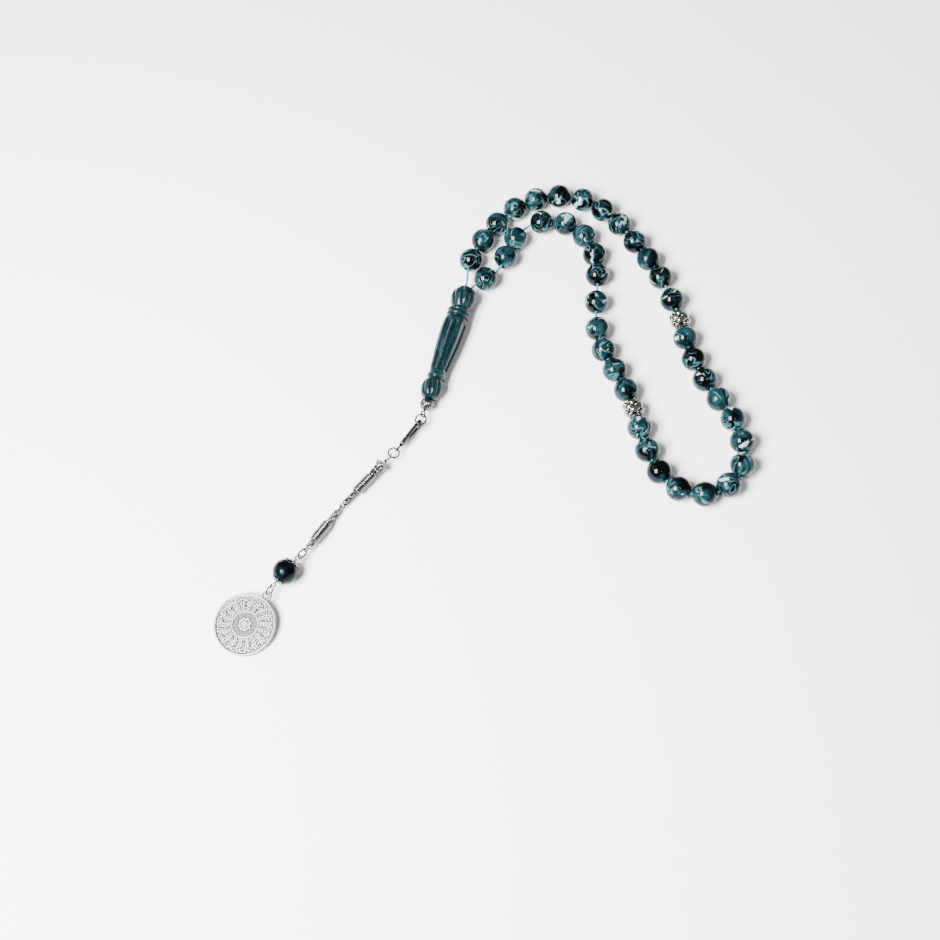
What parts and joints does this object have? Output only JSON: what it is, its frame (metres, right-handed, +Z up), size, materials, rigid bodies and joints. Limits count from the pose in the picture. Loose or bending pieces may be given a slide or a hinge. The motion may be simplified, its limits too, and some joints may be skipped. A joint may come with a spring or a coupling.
{
  "type": "prayer beads",
  "caption": "Misbaha: round marbled beads on a cord with two metal separators, a fluted leader bead and a hinged chain tassel that ends in a clasped drop bead and a round medallion.",
  "frame": {"origin": "middle of the footprint on the surface it lies on", "axes": "+Z up from the surface; +X runs across, from the medallion's side to the bead loop; +Y runs from the lower end of the bead loop to its upper bend"},
  "size_m": [0.2197, 0.1845, 0.0108],
  "materials": {
    "bead_resin": "polished marbled resin",
    "leader_resin": "polished fluted resin",
    "drop_resin": "polished near-black resin",
    "cord_fabric": "braided cord",
    "separator_silver": "hammered silver-coloured metal",
    "bright_silver": "bright silver-coloured metal",
    "aged_silver": "oxidised silver-coloured metal",
    "dark_wire": "dark bright-edged wire",
    "medallion_silver": "engraved satin silver-coloured metal"
  },
  "bodies": {
    "strand": {"cord": "cord_fabric", "imame": "leader_resin", "imame_cap_bead": "bright_silver", "imame_eye_pin": "dark_wire"},
    "bead_01": {"bead_01": "bead_resin"},
    "bead_02": {"bead_02": "bead_resin"},
    "bead_03": {"bead_03": "bead_resin"},
    "bead_04": {"bead_04": "bead_resin"},
    "bead_05": {"bead_05": "bead_resin"},
    "bead_06": {"bead_06": "bead_resin"},
    "bead_07": {"bead_07": "bead_resin"},
    "bead_08": {"bead_08": "bead_resin"},
    "bead_09": {"bead_09": "bead_resin"},
    "bead_10": {"bead_10": "bead_resin"},
    "bead_11": {"bead_11": "bead_resin"},
    "bead_12": {"bead_12": "bead_resin"},
    "bead_13": {"bead_13": "bead_resin"},
    "separator_1": {"separator_1": "separator_silver"},
    "bead_14": {"bead_14": "bead_resin"},
    "bead_15": {"bead_15": "bead_resin"},
    "bead_16": {"bead_16": "bead_resin"},
    "bead_17": {"bead_17": "bead_resin"},
    "bead_18": {"bead_18": "bead_resin"},
    "bead_19": {"bead_19": "bead_resin"},
    "bead_20": {"bead_20": "bead_resin"},
    "bead_21": {"bead_21": "bead_resin"},
    "bead_22": {"bead_22": "bead_resin"},
    "bead_23": {"bead_23": "bead_resin"},
    "bead_24": {"bead_24": "bead_resin"},
    "bead_25": {"bead_25": "bead_resin"},
    "bead_26": {"bead_26": "bead_resin"},
    "separator_2": {"separator_2": "separator_silver"},
    "bead_27": {"bead_27": "bead_resin"},
    "bead_28": {"bead_28": "bead_resin"},
    "bead_29": {"bead_29": "bead_resin"},
    "bead_30": {"bead_30": "bead_resin"},
    "bead_31": {"bead_31": "bead_resin"},
    "bead_32": {"bead_32": "bead_resin"},
    "bead_33": {"bead_33": "bead_resin"},
    "bead_34": {"bead_34": "bead_resin"},
    "bead_35": {"bead_35": "bead_resin"},
    "bead_36": {"bead_36": "bead_resin"},
    "bead_37": {"bead_37": "bead_resin"},
    "bead_38": {"bead_38": "bead_resin"},
    "bead_39": {"bead_39": "bead_resin"},
    "upper_ring": {"upper_jump_ring": "dark_wire"},
    "clasp": {"clasp_body": "dark_wire"},
    "clasp_lever": {"clasp_lever": "dark_wire"},
    "swivel": {"clasp_swivel": "dark_wire"},
    "lower_ring": {"lower_jump_ring": "dark_wire"},
    "chain_top": {"chain_crown": "bright_silver", "chain_upper": "aged_silver", "coil_sleeve_upper": "bright_silver"},
    "chain_tail": {"chain_lower": "aged_silver", "coil_sleeve_lower": "bright_silver"},
    "oval_link": {"oval_link": "dark_wire"},
    "drop_pin": {"drop_bead_pin_and_caps": "aged_silver"},
    "drop_bead": {"drop_bead": "drop_resin"},
    "medallion_ring": {"medallion_ring": "dark_wire"},
    "medallion": {"medallion": "medallion_silver"}
  },
  "joints": [
    {"name": "upper_ring_swing", "type": "hinge", "parent": "strand", "child": "upper_ring", "pos_m": [-0.01778, -0.00646, 0.00435], "axis": [0.3864, -0.1721, -0.9061], "range_deg": [-25, 25]},
    {"name": "clasp_swing", "type": "hinge", "parent": "upper_ring", "child": "clasp", "pos_m": [-0.01983, -0.00928, 0.0038], "axis": [0.7883, -0.5997, 0.1375], "range_deg": [-20, 25]},
    {"name": "clasp_lever_pivot", "type": "hinge", "parent": "clasp", "child": "clasp_lever", "pos_m": [-0.02535, -0.0147, 0.0048], "axis": [-0.6739, 0.7182, 0.1736], "range_deg": [0, 16], "stiffness_Nm_per_rad": 0.0004, "springref_deg": -11.46},
    {"name": "swivel_turn", "type": "hinge", "parent": "clasp", "child": "swivel", "pos_m": [-0.01882, -0.00833, 0.00382], "axis": [-0.7312, -0.6819, -0.0175], "continuous": true},
    {"name": "lower_ring_swing", "type": "hinge", "parent": "swivel", "child": "lower_ring", "pos_m": [-0.03042, -0.01916, 0.00355], "axis": [0.1526, -0.1885, 0.9701], "range_deg": [-25, 25]},
    {"name": "chain_swing", "type": "hinge", "parent": "lower_ring", "child": "chain_top", "pos_m": [-0.03311, -0.02125, 0.00384], "axis": [0.6094, -0.7898, -0.0695], "range_deg": [-25, 25]},
    {"name": "chain_bend", "type": "hinge", "parent": "chain_top", "child": "chain_tail", "pos_m": [-0.05492, -0.03816, 0.002], "axis": [0, 0, 1], "range_deg": [-30, 30]},
    {"name": "oval_link_swing", "type": "hinge", "parent": "chain_tail", "child": "oval_link", "pos_m": [-0.0714, -0.05522, 0.00391], "axis": [0.6508, -0.5727, 0.4984], "range_deg": [-20, 25]},
    {"name": "drop_swing", "type": "hinge", "parent": "oval_link", "child": "drop_pin", "pos_m": [-0.07394, -0.05751, 0.00522], "axis": [0.1039, -0.5792, -0.8085], "range_deg": [-25, 25]},
    {"name": "drop_bead_spin", "type": "hinge", "parent": "drop_pin", "child": "drop_bead", "pos_m": [-0.07953, -0.06255, 0.00522], "axis": [-0.7431, -0.6691, 0], "continuous": true},
    {"name": "medallion_ring_swing", "type": "hinge", "parent": "drop_pin", "child": "medallion_ring", "pos_m": [-0.08577, -0.06816, 0.00522], "axis": [0.5795, -0.6436, 0.5], "range_deg": [-25, 25]},
    {"name": "medallion_swing", "type": "hinge", "parent": "medallion_ring", "child": "medallion", "pos_m": [-0.0874, -0.07011, 0.00392], "axis": [0.4685, 0.1819, -0.8645], "range_deg": [-20, 20]},
    {"name": "bead_01_slide", "type": "slide", "parent": "strand", "child": "bead_01", "axis": [0.4785, 0.8781, 0], "range_m": [-0.001, 0.0006]},
    {"name": "bead_02_spin", "type": "hinge", "parent": "strand", "child": "bead_02", "pos_m": [0.02011, 0.07129, 0.005], "axis": [0.6759, 0.7369, 0], "continuous": true},
    {"name": "bead_03_spin", "type": "hinge", "parent": "strand", "child": "bead_03", "pos_m": [0.02745, 0.07843, 0.005], "axis": [0.7511, 0.6601, 0], "continuous": true},
    {"name": "bead_04_spin", "type": "hinge", "parent": "strand", "child": "bead_04", "pos_m": [0.03622, 0.0844, 0.005], "axis": [0.9054, 0.4246, 0], "continuous": true},
    {"name": "bead_05_spin", "type": "hinge", "parent": "strand", "child": "bead_05", "pos_m": [0.046, 0.08728, 0.005], "axis": [0.991, 0.1335, 0], "continuous": true},
    {"name": "bead_06_spin", "type": "hinge", "parent": "strand", "child": "bead_06", "pos_m": [0.05622, 0.08684, 0.005], "axis": [0.9783, -0.2074, 0], "continuous": true},
    {"name": "bead_07_spin", "type": "hinge", "parent": "strand", "child": "bead_07", "pos_m": [0.06568, 0.08291, 0.005], "axis": [0.8254, -0.5645, 0], "continuous": true},
    {"name": "bead_08_spin", "type": "hinge", "parent": "strand", "child": "bead_08", "pos_m": [0.0731, 0.0759, 0.005], "axis": [0.6331, -0.7741, 0], "continuous": true},
    {"name": "bead_09_spin", "type": "hinge", "parent": "strand", "child": "bead_09", "pos_m": [0.07864, 0.06734, 0.005], "axis": [0.4527, -0.8917, 0], "continuous": true},
    {"name": "bead_10_spin", "type": "hinge", "parent": "strand", "child": "bead_10", "pos_m": [0.08315, 0.05736, 0.005], "axis": [0.3845, -0.9231, 0], "continuous": true},
    {"name": "bead_11_spin", "type": "hinge", "parent": "strand", "child": "bead_11", "pos_m": [0.08687, 0.04782, 0.005], "axis": [0.343, -0.9393, 0], "continuous": true},
    {"name": "bead_12_spin", "type": "hinge", "parent": "strand", "child": "bead_12", "pos_m": [0.08997, 0.03805, 0.005], "axis": [0.251, -0.968, 0], "continuous": true},
    {"name": "bead_13_slide", "type": "slide", "parent": "strand", "child": "bead_13", "axis": [0.14, -0.9902, 0], "range_m": [-0.0015, 0.0011]},
    {"name": "separator_1_spin", "type": "hinge", "parent": "strand", "child": "separator_1", "pos_m": [0.09323, 0.01654, 0.005], "axis": [0.0508, -0.9987, 0], "continuous": true},
    {"name": "bead_14_spin", "type": "hinge", "parent": "strand", "child": "bead_14", "pos_m": [0.09355, 0.0078, 0.005], "axis": [0.0463, -0.9989, 0], "continuous": true},
    {"name": "bead_15_spin", "type": "hinge", "parent": "strand", "child": "bead_15", "pos_m": [0.09464, -0.00237, 0.005], "axis": [0.1694, -0.9856, 0], "continuous": true},
    {"name": "bead_16_spin", "type": "hinge", "parent": "strand", "child": "bead_16", "pos_m": [0.09687, -0.01237, 0.005], "axis": [0.2672, -0.9636, 0], "continuous": true},
    {"name": "bead_17_spin", "type": "hinge", "parent": "strand", "child": "bead_17", "pos_m": [0.10029, -0.02201, 0.005], "axis": [0.3893, -0.9211, 0], "continuous": true},
    {"name": "bead_18_spin", "type": "hinge", "parent": "strand", "child": "bead_18", "pos_m": [0.1037, -0.03164, 0.005], "axis": [0.2402, -0.9707, 0], "continuous": true},
    {"name": "bead_19_spin", "type": "hinge", "parent": "strand", "child": "bead_19", "pos_m": [0.10491, -0.04179, 0.005], "axis": [-0.0247, -0.9997, 0], "continuous": true},
    {"name": "bead_20_spin", "type": "hinge", "parent": "strand", "child": "bead_20", "pos_m": [0.10258, -0.05173, 0.005], "axis": [-0.4414, -0.8973, 0], "continuous": true},
    {"name": "bead_21_spin", "type": "hinge", "parent": "strand", "child": "bead_21", "pos_m": [0.09537, -0.05899, 0.005], "axis": [-0.8839, -0.4677, 0], "continuous": true},
    {"name": "bead_22_spin", "type": "hinge", "parent": "strand", "child": "bead_22", "pos_m": [0.08536, -0.06099, 0.005], "axis": [-0.9915, 0.1303, 0], "continuous": true},
    {"name": "bead_23_spin", "type": "hinge", "parent": "strand", "child": "bead_23", "pos_m": [0.07602, -0.05685, 0.005], "axis": [-0.7654, 0.6436, 0], "continuous": true},
    {"name": "bead_24_spin", "type": "hinge", "parent": "strand", "child": "bead_24", "pos_m": [0.07026, -0.04839, 0.005], "axis": [-0.3667, 0.9303, 0], "continuous": true},
    {"name": "bead_25_spin", "type": "hinge", "parent": "strand", "child": "bead_25", "pos_m": [0.06772, -0.03847, 0.005], "axis": [-0.1302, 0.9915, 0], "continuous": true},
    {"name": "bead_26_spin", "type": "hinge", "parent": "strand", "child": "bead_26", "pos_m": [0.06681, -0.02827, 0.005], "axis": [-0.0744, 0.9972, 0], "continuous": true},
    {"name": "separator_2_spin", "type": "hinge", "parent": "strand", "child": "separator_2", "pos_m": [0.06614, -0.0196, 0.005], "axis": [-0.0795, 0.9968, 0], "continuous": true},
    {"name": "bead_27_spin", "type": "hinge", "parent": "strand", "child": "bead_27", "pos_m": [0.06503, -0.01093, 0.005], "axis": [-0.1811, 0.9835, 0], "continuous": true},
    {"name": "bead_28_spin", "type": "hinge", "parent": "strand", "child": "bead_28", "pos_m": [0.06241, -0.00104, 0.005], "axis": [-0.3128, 0.9498, 0], "continuous": true},
    {"name": "bead_29_spin", "type": "hinge", "parent": "strand", "child": "bead_29", "pos_m": [0.05986, 0.00885, 0.005], "axis": [-0.1529, 0.9882, 0], "continuous": true},
    {"name": "bead_30_spin", "type": "hinge", "parent": "strand", "child": "bead_30", "pos_m": [0.05934, 0.01905, 0.005], "axis": [0.0441, 0.999, 0], "continuous": true},
    {"name": "bead_31_slide", "type": "slide", "parent": "strand", "child": "bead_31", "axis": [0.2629, 0.9648, 0], "range_m": [-0.0023, 0.0029]},
    {"name": "bead_32_spin", "type": "hinge", "parent": "strand", "child": "bead_32", "pos_m": [0.06442, 0.04441, 0.005], "axis": [0.1666, 0.986, 0], "continuous": true},
    {"name": "bead_33_spin", "type": "hinge", "parent": "strand", "child": "bead_33", "pos_m": [0.06517, 0.05463, 0.005], "axis": [-0.0566, 0.9984, 0], "continuous": true},
    {"name": "bead_34_spin", "type": "hinge", "parent": "strand", "child": "bead_34", "pos_m": [0.06275, 0.06458, 0.005], "axis": [-0.4297, 0.903, 0], "continuous": true},
    {"name": "bead_35_spin", "type": "hinge", "parent": "strand", "child": "bead_35", "pos_m": [0.0561, 0.07233, 0.005], "axis": [-0.8305, 0.5571, 0], "continuous": true},
    {"name": "bead_36_spin", "type": "hinge", "parent": "strand", "child": "bead_36", "pos_m": [0.04629, 0.07519, 0.005], "axis": [-0.9997, -0.0258, 0], "continuous": true},
    {"name": "bead_37_slide", "type": "slide", "parent": "strand", "child": "bead_37", "axis": [-0.6981, -0.716, 0], "range_m": [-0.001, 0]},
    {"name": "bead_38_spin", "type": "hinge", "parent": "strand", "child": "bead_38", "pos_m": [0.02816, 0.06097, 0.005], "axis": [-0.4843, -0.8749, 0], "continuous": true},
    {"name": "bead_39_slide", "type": "slide", "parent": "strand", "child": "bead_39", "axis": [-0.9515, -0.3078, 0], "range_m": [0, 0.001]}
  ]
}
